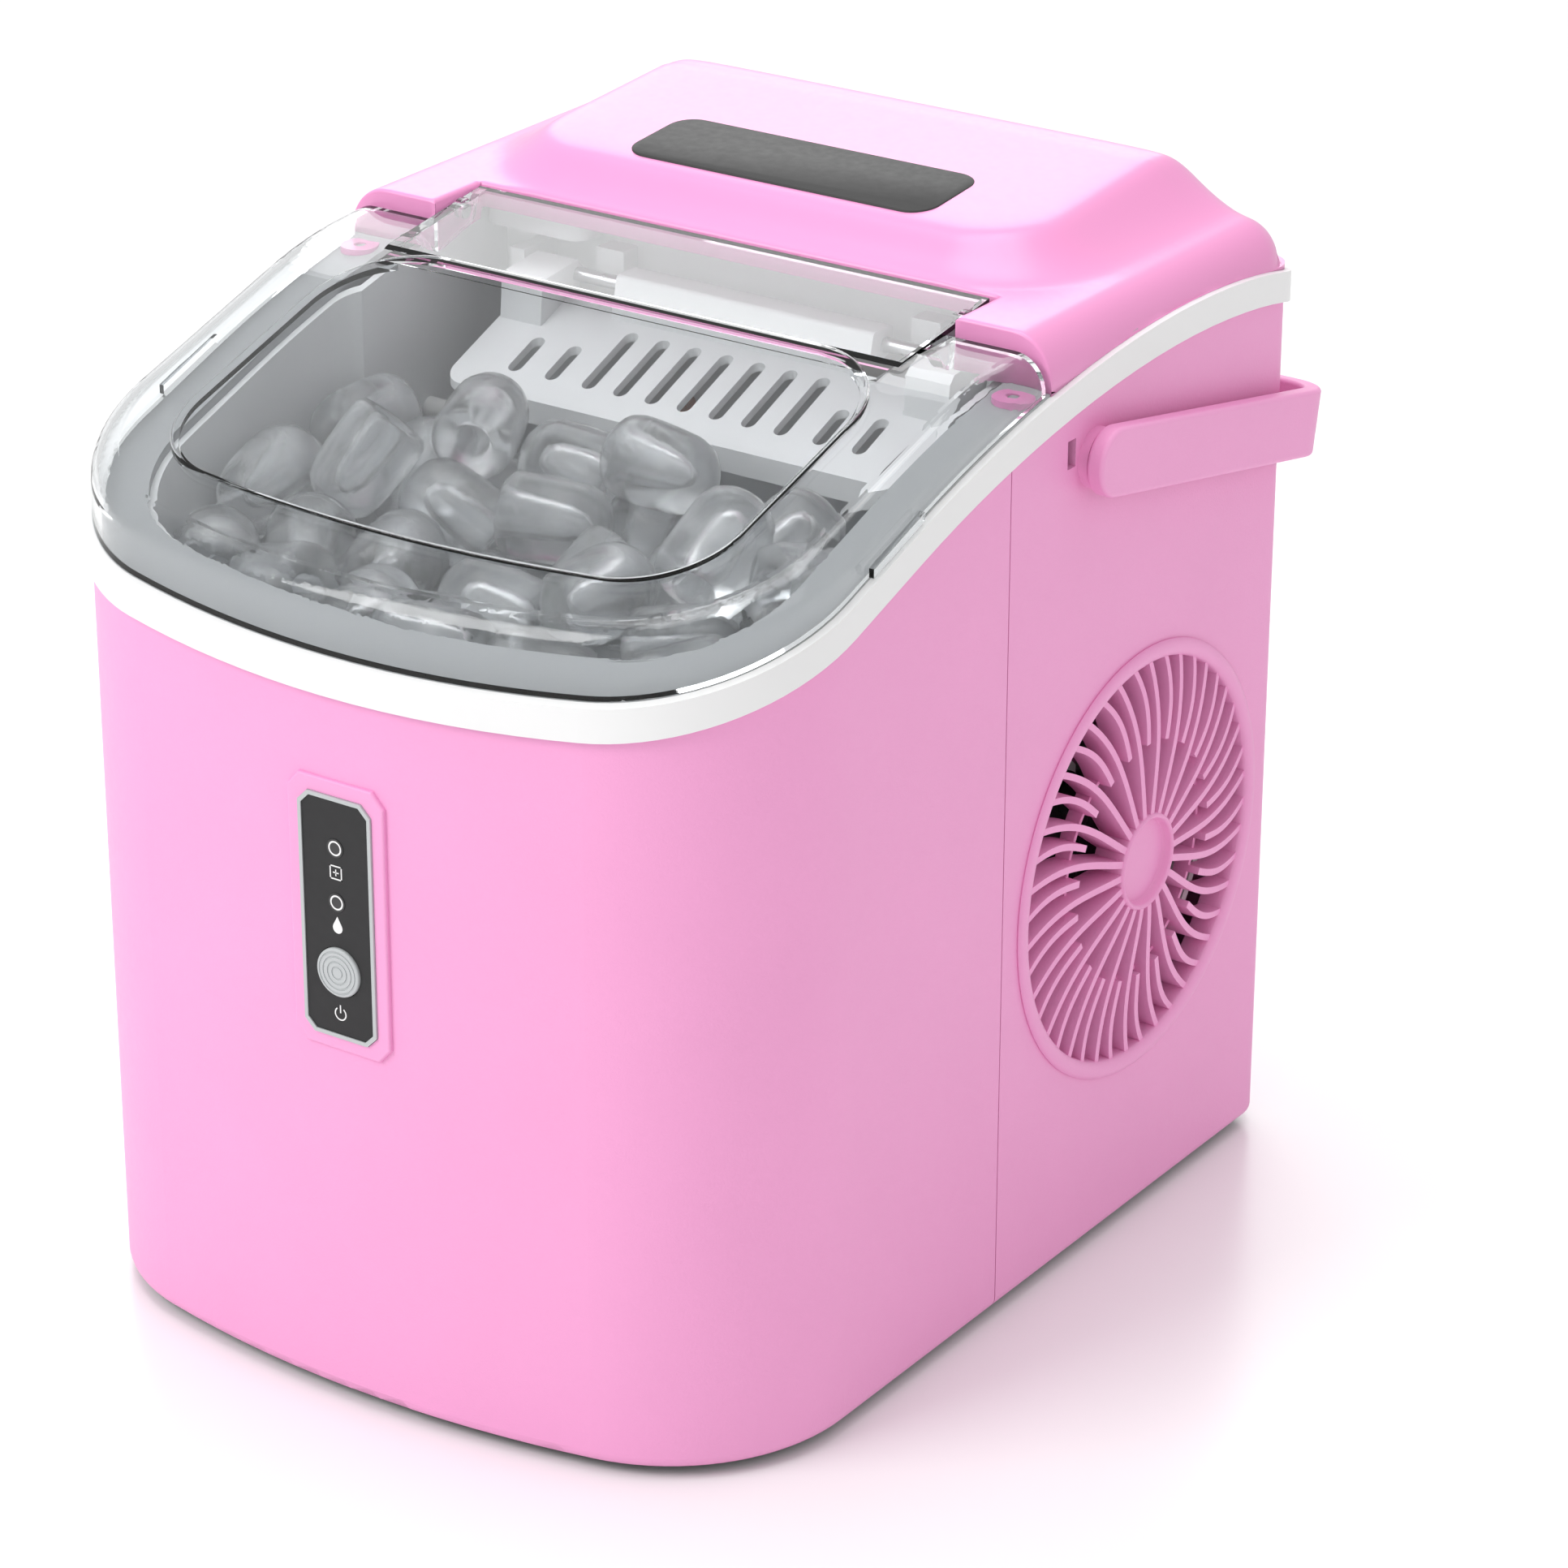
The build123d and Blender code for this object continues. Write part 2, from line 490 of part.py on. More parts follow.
basket = basket_vol(0, B_Z0, B_Z1)
rim = up(plan(-20.6, rear=-4.8, rear_r=17), B_Z1 - 2.4, B_Z1)
basket = basket + rim
basket -= basket_vol(2.2, B_Z0 + 2.2, B_Z1 + 0.01)
for s in (-1, 1):
    g = box(s * 86.1, s * 88.3, -74, -40, B_Z1 - 1, B_Z1 + 16)
    g = soft(g, g.edges().filter_by(Axis.X).group_by(Axis.Z)[-1], 7)
    h = box(s * 80, s * 95, -68, -46, B_Z1 + 1.5, B_Z1 + 10.5)
    h = soft(h, h.edges().filter_by(Axis.X), 3)
    basket = basket + g - h
slot_h = 34
for i in range(8):
    x = -59.5 + 17 * i
    basket -= box(x - 3, x + 3, -140, -70, B_Z0 - 1, B_Z0 + slot_h) & (up(plan(-20), 90, 200) - up(plan(-37), 80, 210))
    basket -= box(x - 3, x + 3, -16.5, 0, B_Z0 - 1, B_Z0 + slot_h)
for i in range(3):
    y = -75 + 19 * i
    for s in (-1, 1):
        basket -= box(s * 74.5, s * 95, y - 3, y + 3, B_Z0 - 1, B_Z0 + slot_h)
for i in range(7):
    for j in range(4):
        basket -= rod_z(B_Z0 - 1, B_Z0 + 4, -54 + 18 * i, -80 + 18 * j, 3.5)
basket = max(basket.solids(), key=lambda q: q.volume)
save("ice_basket", basket)
# basket rests on four ledges of the tub
ledges = []
for x, y in ((-60, -28), (60, -28), (-60, -78), (60, -78)):
    ledges.append(rod_z(TUB_Z, B_Z0, x, y, 5))
save("basket_rests", ledges)

# ---------------------------------------------------------------- ice pusher
def plate_slab(z_up, z_dn, y0, y1, x0, x1):
    return yz_prism([(y0, PLATE_A + PLATE_B * y0 + z_dn), (y0, PLATE_A + PLATE_B * y0 + z_up),
                     (y1, PLATE_A + PLATE_B * y1 + z_up), (y1, PLATE_A + PLATE_B * y1 + z_dn)], x0, x1)


pl = plate_slab(0, -2.4, 4.4, 42.5, -72, 72) & up(rrect(-72, 72, 4.4, 60, 6, 0), 150, 300)
pl += plate_slab(0, -6.5, 4.4, 6.8, -66, 66)
for x, y1 in [(-54.8, 26.3), (-42.7, 26.3), (42.7, 26.3), (54.8, 26.3)] + [(10.2 * i, 35.3) for i in range(-3, 4)]:
    sl = up(Pos(x, (12.7 + y1) / 2, 0) * Rectangle(4.2, y1 - 12.7 - 4.2), 200, 260)
    sl += rod_z(200, 260, x, 12.7 + 2.1, 2.1) + rod_z(200, 260, x, y1 - 2.1, 2.1)
    pl -= sl
bar = yz_prism([(38.5, 236.0), (41.5, 247.5), (50.5, 247.5), (50.5, 241.0), (43, 237.6)], -41, 41)
bar = soft(bar, bar.edges().filter_by(Axis.X).group_by(Axis.Z)[-1], 1.5)
pl += bar
for s in (-1, 1):
    a, b = (58, 71.5) if s > 0 else (-71.5, -58)
    pl += yz_prism([(30, PLATE_A + PLATE_B * 30 - 1), (31, 243.5), (33, 245.5), (47, 247.0), (50.5, 243), (47, 239.2), (42.5, 236)], a, b)
pl -= rod_x(-80, 80, PUSH_Y, PUSH_Z, 2.06)
pl = max(pl.solids(), key=lambda q: q.volume)
save("ice_pusher", pl)
save("pusher_hinge_rod", rod_x(-77, 77, PUSH_Y, PUSH_Z, 2.0))
brackets = []
for s in (-1, 1):
    br = box(s * 73, s * 77.5, 43, BAY_Y, 239, 248) + box(s * 73, s * 84, BAY_Y - 2.5, BAY_Y, 236, 251)
    br -= rod_x(s * 70, s * 80, PUSH_Y, PUSH_Z, 2.0)
    brackets.append(br)
    b2 = box(s * 46, s * 55, 51.5, BAY_Y, 238, 250)
    brackets.append(b2)
save("pusher_brackets", brackets)
cov = box(-LINER_X + 0.5, -56, 46, BAY_Y, 252.0, 257.5)
cov = soft(cov, cov.edges().filter_by(Axis.Z).sort_by(Axis.Y)[:2], 5)
save("ice_full_sensor_cover", cov)

# ---------------------------------------------------------------- water tray and evaporator
tr = box(-62, 62, 8, TRAY_Y, 176, 198)
tr = soft(tr, tr.edges().filter_by(Axis.X).group_by(Axis.Z)[0], 4)
tr -= box(-60, 60, 9.8, TRAY_Y - 1.8, 178, 199)
for s in (-1, 1):
    tr += rod_x(s * 62, s * 65, TRAY_Y, TRAY_Z, 6) - box(s * 50, s * 70, 0, 60, 203, 210)
save("water_tray", tr)
save("tray_shafts", [rod_x(65, 93.8, TRAY_Y, TRAY_Z, 3.0), rod_x(-93, -65, TRAY_Y, TRAY_Z, 3.0)])
EV_Y = 23.0
ev = box(-56, 56, EV_Y - 8, EV_Y + 12.9, 204, 214)
for i in range(9):
    f = rod_z(181, 204, -48 + 12 * i, EV_Y, 3.5)
    ev += soft(f, f.faces().sort_by(Axis.Z)[0].edges(), 2)
save("evaporator", ev)
motor = box(94.4, 107.2, TRAY_Y - 14, TRAY_Y + 14, TRAY_Z - 16, TRAY_Z + 16)
save("tray_gear_motor", motor)
spout = box(-106.5, -92.4, 16, 28, 200, 212) + rod_x(-92.4, -57.5, 22, 206, 2.95)
save("water_spout", spout)

# ---------------------------------------------------------------- pump
PX, PY = -60.0, -40.0
pump = rod_z(6.0, 50, PX, PY, 16) - rod_z(8, 20, PX, PY, 13)
pump += rod_x(PX - 22, PX - 15.5, PY, 14, 4) - rod_x(PX - 24, PX - 12, PY, 14, 2)
pump -= rod_z(14, 44, PX, PY, 1.55)
pump = max(pump.solids(), key=lambda q: q.volume)
save("water_pump", pump)
imp = rod_z(10, 12, PX, PY, 10.5) + rod_z(10, 18, PX, PY, 4) + rod_z(18, 40, PX, PY, 1.5)
for i in range(5):
    imp += Pos(PX, PY, 0) * Rot(0, 0, 72 * i) * box(3, 10, -0.7, 0.7, 12, 18)
save("pump_impeller", imp)
hose = tube([(PX - 22, PY, 14), (-101, PY, 14), (-101, PY, 170), (-101, 5, 206), (-101, 16, 206)], [8, 20, 10], 3.2)
save("water_hose", hose)

# ---------------------------------------------------------------- cooling circuit
KX, KY = -38.0, 82.0
comp = rod_z(14, 118, KX, KY, 42)
comp = soft(comp, comp.edges().filter_by(GeomType.CIRCLE), 18)
comp += rod_z(60, 64, KX, KY, 43.2)
comp += box(KX - 52, KX + 52, KY - 12, KY + 12, 14, 17.0) - rod_z(10, 20, KX, KY, 30)
save("compressor", comp)
mounts = [rod_z(5.6, 14, KX + s * 47, KY, 6) for s in (-1, 1)]
save("compressor_mounts", mounts)
cond = box(30, 58, 16, 116, 56, 134)
for i in range(16):
    y = 19 + 6 * i
    cond -= box(33, 60, y, y + 4.4, 58, 132) & box(32, 60, 0, 200, 0, 200)
    cond -= box(28, 31, y, y + 4.4, 58, 132)
save("condenser", cond)
lines = [
    tube([(-30, EV_Y + 12.9, 209), (-30, 72, 209), (-30, 72, 118)], 10, 2.9),
    tube([(44, EV_Y + 12.9, 209), (44, 71, 209), (44, 71, 190)], 8, 2.9),
    rod_z(134, 150, 44, 71, 2.5),
    tube([(-24, 96, 118), (-24, 96, 150), (44, 96, 150), (44, 96, 134)], [14, 14], 2.9),
]
save("refrigerant_lines", lines)
dry = rod_z(150, 190, 44, 71, 8)
dry = soft(dry, dry.edges().filter_by(GeomType.CIRCLE), 5)
save("filter_dryer", dry)

# fan behind the side grille
FX = 86.0
blade = rod_x(FX, FX + 14, VENT_Y, VENT_Z, 15)
for i in range(7):
    w = Pos(FX + 7, VENT_Y, VENT_Z) * Rot(360 / 7 * i, 0, 0) * Pos(0, 0, 30) * Rot(0, 0, 38) * Box(2.0, 20, 32)
    blade += w
blade = blade & rod_x(FX, FX + 14, VENT_Y, VENT_Z, 46)
blade += rod_x(FX - 8, FX, VENT_Y, VENT_Z, 1.5)
save("fan_blade", blade)
fm = rod_x(70, 84, VENT_Y, VENT_Z, 18)
fm -= rod_x(76, 86, VENT_Y, VENT_Z, 1.55)
save("fan_motor", fm)
sh = box(75, 77.5, 12, 120, 52, 160) - rod_x(70, 80, VENT_Y, VENT_Z, 48.5)
sh += rod_x(77.5, 102, VENT_Y, VENT_Z, 51) - rod_x(70, 110, VENT_Y, VENT_Z, 48.5)
for i in range(3):
    sh += Pos(0, VENT_Y, VENT_Z) * Rot(120 * i + 30, 0, 0) * box(78, 81.3, -4, 4, 19, 49.5)
sh += rod_x(78, 81.3, VENT_Y, VENT_Z, 21) - rod_x(70, 90, VENT_Y, VENT_Z, 18)
save("fan_shroud", sh)

# side grille: rim, hub, and two tiers of swept blades
grille = rod_x(103.5, 112.0, VENT_Y, VENT_Z, VENT_R - 2.5) + rod_x(HALF_W, 112.0, VENT_Y, VENT_Z, VENT_R)
grille -= rod_x(100, 115, VENT_Y, VENT_Z, VENT_R - 5.0)
hub = rod_x(104.5, 110.0, VENT_Y, VENT_Z, 17) - rod_x(109.2, 112, VENT_Y, VENT_Z, 14.5)
N_BLADE = 22


def swept(r0, r1, a0, sweep_deg, w):
    """Curved strip from radius r0 to r1, turning by sweep_deg, w thick."""
    def pt(r, a, d):
        return (r * cos(radians(a)) - d * sin(radians(a)), r * sin(radians(a)) + d * cos(radians(a)))
    rm, am = (r0 + r1) / 2, a0 + sweep_deg * 0.38
    a1 = a0 + sweep_deg
    p = [pt(r0, a0, -w / 2), pt(rm, am, -w / 2), pt(r1, a1, -w / 2), pt(r1, a1, w / 2), pt(rm, am, w / 2), pt(r0, a0, w / 2)]
    e = [ThreePointArc(p[0], p[1], p[2]), Line(p[2], p[3]), ThreePointArc(p[3], p[4], p[5]), Line(p[5], p[0])]
    return Face(Wire(e))


tool = []
for i in range(N_BLADE):
    a = 360 / N_BLADE * i
    tool.append(swept(15.8, 37.5, a, 26, 1.6))
    tool.append(swept(36.3, 56.0, a + 26 - 0.5, 17, 1.6))
    tool.append(swept(36.3, 56.0, a + 26 - 0.5, -2, 1.6))
to_x = Plane(origin=(104.5, VENT_Y, VENT_Z), x_dir=(0, 1, 0), z_dir=(1, 0, 0))
blades = [extrude(to_x * f, amount=5.5, dir=X1) for f in tool]
grille = grille + hub
grille = grille.fuse(*blades) if hasattr(grille, "fuse") else grille
save("vent_grille", max(Part(grille.wrapped).solids(), key=lambda q: q.volume) if not isinstance(grille, list) else grille)

# ---------------------------------------------------------------- electrics and insulation
pcb = box(-104, -102.4, 78, 130, 150, 222)
for y, z, dy, dz, dx in ((88, 160, 14, 12, 12), (110, 165, 18, 18, 16), (90, 190, 12, 20, 9), (112, 200, 20, 14, 10)):
    pcb += box(-102.4, -102.4 + dx, y - dy / 2, y + dy / 2, z - dz / 2, z + dz / 2)
save("control_board", pcb)
foam = up(plan(-5.5), 62, 178) - up(plan(LINER_O + LINER_T + 0.1), 60, 180)
foam = foam & box(-150, 150, -150, -62, 0, 300)
foam -= box(-22, 22, -140, -112, 60, 180)
save("tub_insulation", foam)

# ---------------------------------------------------------------- carry handle
def handle_profile():
    x_out, x_in = ARM_IN + ARM_T, ARM_IN
    outer = rrect(-x_out, x_out, -40, HANDLE_L, 12, 0)
    inner = rrect(-x_in, x_in, -60, HANDLE_L - ARM_T, 7, 0)
    u = up(outer, -ARM_H / 2, ARM_H / 2) - up(inner, -ARM_H, ARM_H)
    ends = box(-130, 130, 0, 140, -20, 20) + rod_x(-130, 130, 0, 0, ARM_H / 2)
    return u & ends


hd = handle_profile()
hd = soft(hd, hd.edges().filter_by(lambda e: e.length > 20), 1.2)
for s in (-1, 1):
    hd -= rod_x(s * 113, s * 117.0, 0, 0, 4.06)
hd = Pos(0, PIVOT_Y, PIVOT_Z) * Rot(-HANDLE_TILT, 0, 0) * hd
save("carry_handle", hd)
posts = []
for s in (-1, 1):
    p = rod_x(s * 110.5, s * 113.2, PIVOT_Y, PIVOT_Z, 8.0) + rod_x(s * 103, s * 116.6, PIVOT_Y, PIVOT_Z, 4.0) + rod_x(s * 103, s * 107.9, PIVOT_Y, PIVOT_Z, 6.5)
    posts.append(p)
save("handle_pivots", posts)
print("done")
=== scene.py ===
import bpy
import bmesh
import math
import random
import json
import numpy as np
from mathutils import Vector, Matrix

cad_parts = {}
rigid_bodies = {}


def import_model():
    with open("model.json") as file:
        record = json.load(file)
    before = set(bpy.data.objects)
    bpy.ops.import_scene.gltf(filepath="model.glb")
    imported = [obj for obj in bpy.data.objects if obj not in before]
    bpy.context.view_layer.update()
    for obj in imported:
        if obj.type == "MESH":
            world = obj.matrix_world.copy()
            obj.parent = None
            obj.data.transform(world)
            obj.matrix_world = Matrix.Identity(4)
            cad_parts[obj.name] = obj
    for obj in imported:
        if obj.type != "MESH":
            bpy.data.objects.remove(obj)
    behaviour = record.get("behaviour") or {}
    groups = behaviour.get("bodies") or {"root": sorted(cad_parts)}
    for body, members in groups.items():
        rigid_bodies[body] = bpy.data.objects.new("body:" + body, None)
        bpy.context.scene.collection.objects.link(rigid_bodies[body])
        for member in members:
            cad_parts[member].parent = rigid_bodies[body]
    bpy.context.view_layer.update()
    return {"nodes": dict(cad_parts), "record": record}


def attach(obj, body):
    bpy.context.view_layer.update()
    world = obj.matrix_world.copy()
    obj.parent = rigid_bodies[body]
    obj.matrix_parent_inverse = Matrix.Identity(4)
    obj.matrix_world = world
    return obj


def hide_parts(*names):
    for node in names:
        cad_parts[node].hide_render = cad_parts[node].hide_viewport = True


# Everything is in metres in the part's frame: +X right, +Y back, +Z up, origin under the middle of the footprint.
for o in list(bpy.data.objects):
    bpy.data.objects.remove(o)
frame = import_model()
N = frame["nodes"]
SC = bpy.context.scene
SHIFT = 7.86 # mm between the layout's zero and the row frame's, along Y


# ------------------------------------------------------------------ camera
def make_camera():
    cam = bpy.data.cameras.new("camera")
    ob = bpy.data.objects.new("camera", cam)
    SC.collection.objects.link(ob)
    a, e, roll = math.radians(34.328), math.radians(24.07), math.radians(0.157)
    back = Vector((math.sin(a) * math.cos(e), -math.cos(a) * math.cos(e), math.sin(e)))
    right = Vector((math.cos(a), math.sin(a), 0))
    up = back.cross(right)
    r2 = math.cos(roll) * right + math.sin(roll) * up
    u2 = back.cross(r2)
    m = Matrix((r2, u2, back)).transposed().to_4x4()
    m.translation = Vector((0.768543, -1.063113 - SHIFT / 1000, 0.712505))
    ob.matrix_world = m
    cam.sensor_width = 36.0
    cam.lens = 6662.94 / 1932 * 36.0
    cam.shift_x, cam.shift_y = -0.0022, -0.0017
    cam.clip_start, cam.clip_end = 0.05, 20
    SC.camera = ob
    return ob


make_camera()


# ------------------------------------------------------------------ material helpers
def srgb(r, g, b):
    f = lambda c: c / 12.92 if c <= 0.04045 else ((c + 0.055) / 1.055) ** 2.4
    return (f(r / 255), f(g / 255), f(b / 255), 1.0)


class Mat:
    def __init__(self, name):
        self.m = bpy.data.materials.new(name)
        self.m.use_nodes = True
        self.t = self.m.node_tree
        self.b = self.t.nodes["Principled BSDF"]
        self.co = None

    def n(self, kind, **kw):
        x = self.t.nodes.new(kind)
        for k, v in kw.items():
            setattr(x, k, v)
        return x

    def link(self, a, b):
        self.t.links.new(a, b)

    def coords(self):
        if self.co is None:
            self.co = self.n("ShaderNodeTexCoord").outputs["Object"]
        return self.co

    def noise(self, scale, detail=3.0, rough=0.5, stretch=None):
        x = self.n("ShaderNodeTexNoise")
        x.inputs["Scale"].default_value = scale
        x.inputs["Detail"].default_value = detail
        x.inputs["Roughness"].default_value = rough
        src = self.coords()
        if stretch:
            mp = self.n("ShaderNodeMapping")
            mp.inputs["Scale"].default_value = stretch
            self.link(src, mp.inputs["Vector"])
            src = mp.outputs["Vector"]
        self.link(src, x.inputs["Vector"])
        return x.outputs["Fac"]

    def ramp(self, fac, lo, hi, a, b):
        r = self.n("ShaderNodeMapRange")
        r.inputs["From Min"].default_value, r.inputs["From Max"].default_value = lo, hi
        r.inputs["To Min"].default_value, r.inputs["To Max"].default_value = a, b
        self.link(fac, r.inputs["Value"])
        return r.outputs["Result"]

    def mix(self, fac, a, b):
        x = self.n("ShaderNodeMix", data_type="RGBA")
        self.link(fac, x.inputs["Factor"])
        x.inputs["A"].default_value, x.inputs["B"].default_value = a, b
        return x.outputs["Result"]

    def bump(self, height, strength, dist, normal=None):
        x = self.n("ShaderNodeBump")
        x.inputs["Strength"].default_value = strength
        x.inputs["Distance"].default_value = dist
        self.link(height, x.inputs["Height"])
        if normal is not None:
            self.link(normal, x.inputs["Normal"])
        return x.outputs["Normal"]


def plastic(name, col, rough, grain=0.0, grain_scale=2600, coat=0.0, coat_rough=0.1, sss=0.0, spec=0.5, var=0.025, metallic=0.0, sheen=0.0):
    """Moulded plastic: faint colour drift, fine moulding grain, small roughness changes."""
    k = Mat(name)
    b = k.b
    c = col
    dark = tuple(x * (1 - var) for x in c[:3]) + (1,)
    light = tuple(min(1, x * (1 + var)) for x in c[:3]) + (1,)
    k.link(k.mix(k.noise(28, 2), dark, light), b.inputs["Base Color"])
    k.link(k.ramp(k.noise(420, 3), 0.3, 0.7, max(0.02, rough - 0.035), min(1, rough + 0.035)), b.inputs["Roughness"])
    if grain:
        k.link(k.bump(k.noise(grain_scale, 2, 0.6), grain, 0.00012), b.inputs["Normal"])
    b.inputs["Coat Weight"].default_value = coat
    b.inputs["Coat Roughness"].default_value = coat_rough
    b.inputs["Specular IOR Level"].default_value = spec
    b.inputs["Metallic"].default_value = metallic
    if sss:
        b.inputs["Subsurface Weight"].default_value = sss
        b.inputs["Subsurface Radius"].default_value = (0.004, 0.0025, 0.003)
        b.inputs["Subsurface Scale"].default_value = 0.5
    return k.m


PINK = srgb(239, 161, 208)
M = {}
M["casing_pink"] = plastic("casing_pink", PINK, 0.44, grain=0.55, grain_scale=1500)
# painted shade: the cover's pink is darker and deeper than the casing's same plastic, standing in for the shade on
# the cover's slopes; it is uniform over the whole cover
M["cover_pink"] = plastic("cover_pink", srgb(233, 148, 199), 0.34, coat=0.3, coat_rough=0.26, var=0.01)
M["band_white"] = plastic("band_white", srgb(234, 234, 234), 0.34)
M["deck_grey"] = plastic("deck_grey", srgb(168, 170, 172), 0.4)
M["tub_grey"] = plastic("tub_grey", srgb(236, 237, 238), 0.42)
M["window_dark"] = plastic("window_dark", srgb(58, 58, 58), 0.5, spec=0.25)
M["panel_dark"] = plastic("panel_dark", srgb(40, 40, 41), 0.5, spec=0.3)
M["silver_trim"] = plastic("silver_trim", srgb(184, 188, 189), 0.46, var=0.01)
M["rubber_grey"] = plastic("rubber_grey", srgb(40, 40, 41), 0.7, grain=0.2)
M["base_black"] = plastic("base_black", srgb(30, 30, 31), 0.6, grain=0.2)
M["fan_black"] = plastic("fan_black", srgb(34, 34, 36), 0.45)
M["black_steel"] = plastic("black_steel", srgb(28, 28, 30), 0.35, coat=0.3)
M["zinc_steel"] = plastic("zinc_steel", srgb(190, 190, 192), 0.3, metallic=1.0)
M["copper"] = plastic("copper", srgb(205, 125, 88), 0.28, metallic=1.0, var=0.08)
M["fin_aluminium"] = plastic("fin_aluminium", srgb(205, 207, 210), 0.35, metallic=1.0)
M["circuit_board"] = plastic("circuit_board", srgb(28, 92, 52), 0.4, var=0.1)
M["foam_white"] = plastic("foam_white", srgb(228, 228, 222), 0.9, grain=0.5, grain_scale=700)
M["mech_white"] = plastic("mech_white", srgb(232, 232, 231), 0.4)
M["hose_clear"] = plastic("hose_clear", srgb(215, 215, 208), 0.35)
M["print_white"] = plastic("print_white", srgb(232, 232, 232), 0.5)
k = Mat("clear_plastic")
k.b.inputs["Base Color"].default_value = srgb(250, 252, 253)
k.b.inputs["Roughness"].default_value = 0.015
k.b.inputs["Transmission Weight"].default_value = 1.0
k.b.inputs["IOR"].default_value = 1.38
M["clear_plastic"] = k.m
k = Mat("ice")
fr = k.ramp(k.noise(140, 5, 0.62), 0.42, 0.66, 0.0, 1.0)
k.link(k.mix(fr, srgb(250, 252, 254), srgb(255, 255, 255)), k.b.inputs["Base Color"])
k.link(k.ramp(k.noise(330, 4), 0.35, 0.7, 0.06, 0.2), k.b.inputs["Roughness"])
k.link(k.ramp(k.noise(95, 3), 0.36, 0.64, 0.9, 0.76), k.b.inputs["Transmission Weight"])
k.b.inputs["IOR"].default_value = 1.31
k.link(k.bump(k.noise(520, 5, 0.7, stretch=(1, 1, 0.4)), 0.3, 0.0004), k.b.inputs["Normal"])
M["ice"] = k.m

SLOT = {s["node"]: s["material_slot"] for s in frame["record"]["subparts"]}
for name, ob in N.items():
    mat = M[SLOT[name]]
    ob.data.materials.clear()
    ob.data.materials.append(mat)
    for p in ob.data.polygons:
        p.use_smooth = True
    ob.data.polygons.foreach_set("material_index", [0] * len(ob.data.polygons))

M["led_smoke"] = plastic("led_smoke", srgb(46, 46, 47), 0.35, var=0.01)
N["led_lenses"].data.materials[0] = M["led_smoke"]


# ------------------------------------------------------------------ mesh helpers (layout millimetres in, metres out)
def piece(name, verts, faces, mat, sharp=40):
    me = bpy.data.meshes.new(name)
    me.from_pydata([(v[0] / 1000, (v[1] - SHIFT) / 1000, v[2] / 1000) for v in verts], [], faces)
    me.validate()
    bm = bmesh.new()
    bm.from_mesh(me)
    bmesh.ops.remove_doubles(bm, verts=bm.verts, dist=1e-6)
    bmesh.ops.recalc_face_normals(bm, faces=bm.faces)
    bm.to_mesh(me)
    bm.free()
    for p in me.polygons:
        p.use_smooth = True
    me.set_sharp_from_angle(angle=math.radians(sharp))
    me.materials.append(M[mat])
    ob = bpy.data.objects.new(name, me)
    SC.collection.objects.link(ob)
    return ob


class Build:
    def __init__(self):
        self.v, self.f = [], []

    def add(self, verts, faces):
        o = len(self.v)
        self.v += list(verts)
        self.f += [tuple(i + o for i in f) for f in faces]

    def strip(self, rings, closed=True):
        """Skin consecutive rings of equal length."""
        n = len(rings[0])
        verts = [p for r in rings for p in r]
        faces = []
        for a in range(len(rings) - 1):
            for b in range(n if closed else n - 1):
                c = (b + 1) % n
                faces.append((a * n + b, a * n + c, (a + 1) * n + c, (a + 1) * n + b))
        self.add(verts, faces)


def smooth01(t):
    t = max(0.0, min(1.0, t))
    return t * t * (3 - 2 * t)


# ------------------------------------------------------------------ rear cover: one smooth skin with a raised, softly footed top
DOME_Z0, DOME_S = 278.6, 0.072


def band_low(y):
    t = y + 45
    if y < -45:
        return 227.5 + 0.347 * t
    return 227.5 + 0.347 * t - 1.6116e-3 * t ** 2 + 3.854e-6 * t ** 3 - 1.518e-8 * t ** 4


def band_h(y):
    return 10.5 - 1.3 * (y + 132.6) / 265.6


def cover_z(x, y):
    X0, Y0, R = 79.5, 49.4, 21.0
    qx, qy = abs(x) - (X0 - R), (Y0 + R) - y
    e = math.hypot(max(qx, 0), max(qy, 0)) + min(max(qx, qy), 0) - R
    wx, wy = max(qx, 0.001), max(qy, 0.0)
    w = (21.0 * wx + 14.2 * wy) / (wx + wy)
    es = 0.5 * (e + math.sqrt(e * e + 3.0 ** 2))
    t = min(1.0, es / w)
    s = (1 - t) ** 1.6
    a = max(0.0, abs(x) - 98.5) / 12.0
    b = max(0.0, y - 124.6) / 14.0
    q = min(1.0, math.hypot(a, b))
    low = 268.4 - 13.0 * (1 - math.sqrt(1 - q * q))
    top = DOME_Z0 + DOME_S * (y - 51)
    if y > 116.6:
        top = min(top, 262.1 + math.sqrt(max(0.0, 22.0 ** 2 - (y - 116.6) ** 2)))
        # keep the upper rear edge soft where the sloping top meets the rounding
        k2 = 3.0
        c2 = 262.1 + math.sqrt(max(0.0, 22.0 ** 2 - (y - 116.6) ** 2))
        t2 = DOME_Z0 + DOME_S * (y - 51)
        h = max(k2 - abs(c2 - t2), 0) / k2
        top = min(c2, t2) - h * h * k2 / 4
    return max(low, low * (1 - s) + top * s) if s > 1e-4 else low


def frange(a, b, n):
    return [a + (b - a) * i / n for i in range(n + 1)]


half = frange(0, 60, 15) + frange(61.5, 80.5, 15)[0:] + [81.6, 82.0] + frange(83, 98, 14) + [98.5 + 12 * math.sin(math.radians(a)) for a in range(8, 91, 6)] + [110.5]
half = sorted(set(round(v, 4) for v in half))
xs = [-v for v in reversed(half) if v > 0] + half
ys = [16.0, 16.15, 16.5, 17.2, 18.5] + frange(20, 35, 10) + [35.6, 36.0, 36.2, 36.8, 37.8] + frange(39, 66, 26) + frange(70, 116, 14) + [116.6 + 22 * math.sin(math.radians(a)) for a in range(4, 90, 4)] + [138.6]
ys = sorted(set(round(v, 4) for v in ys))


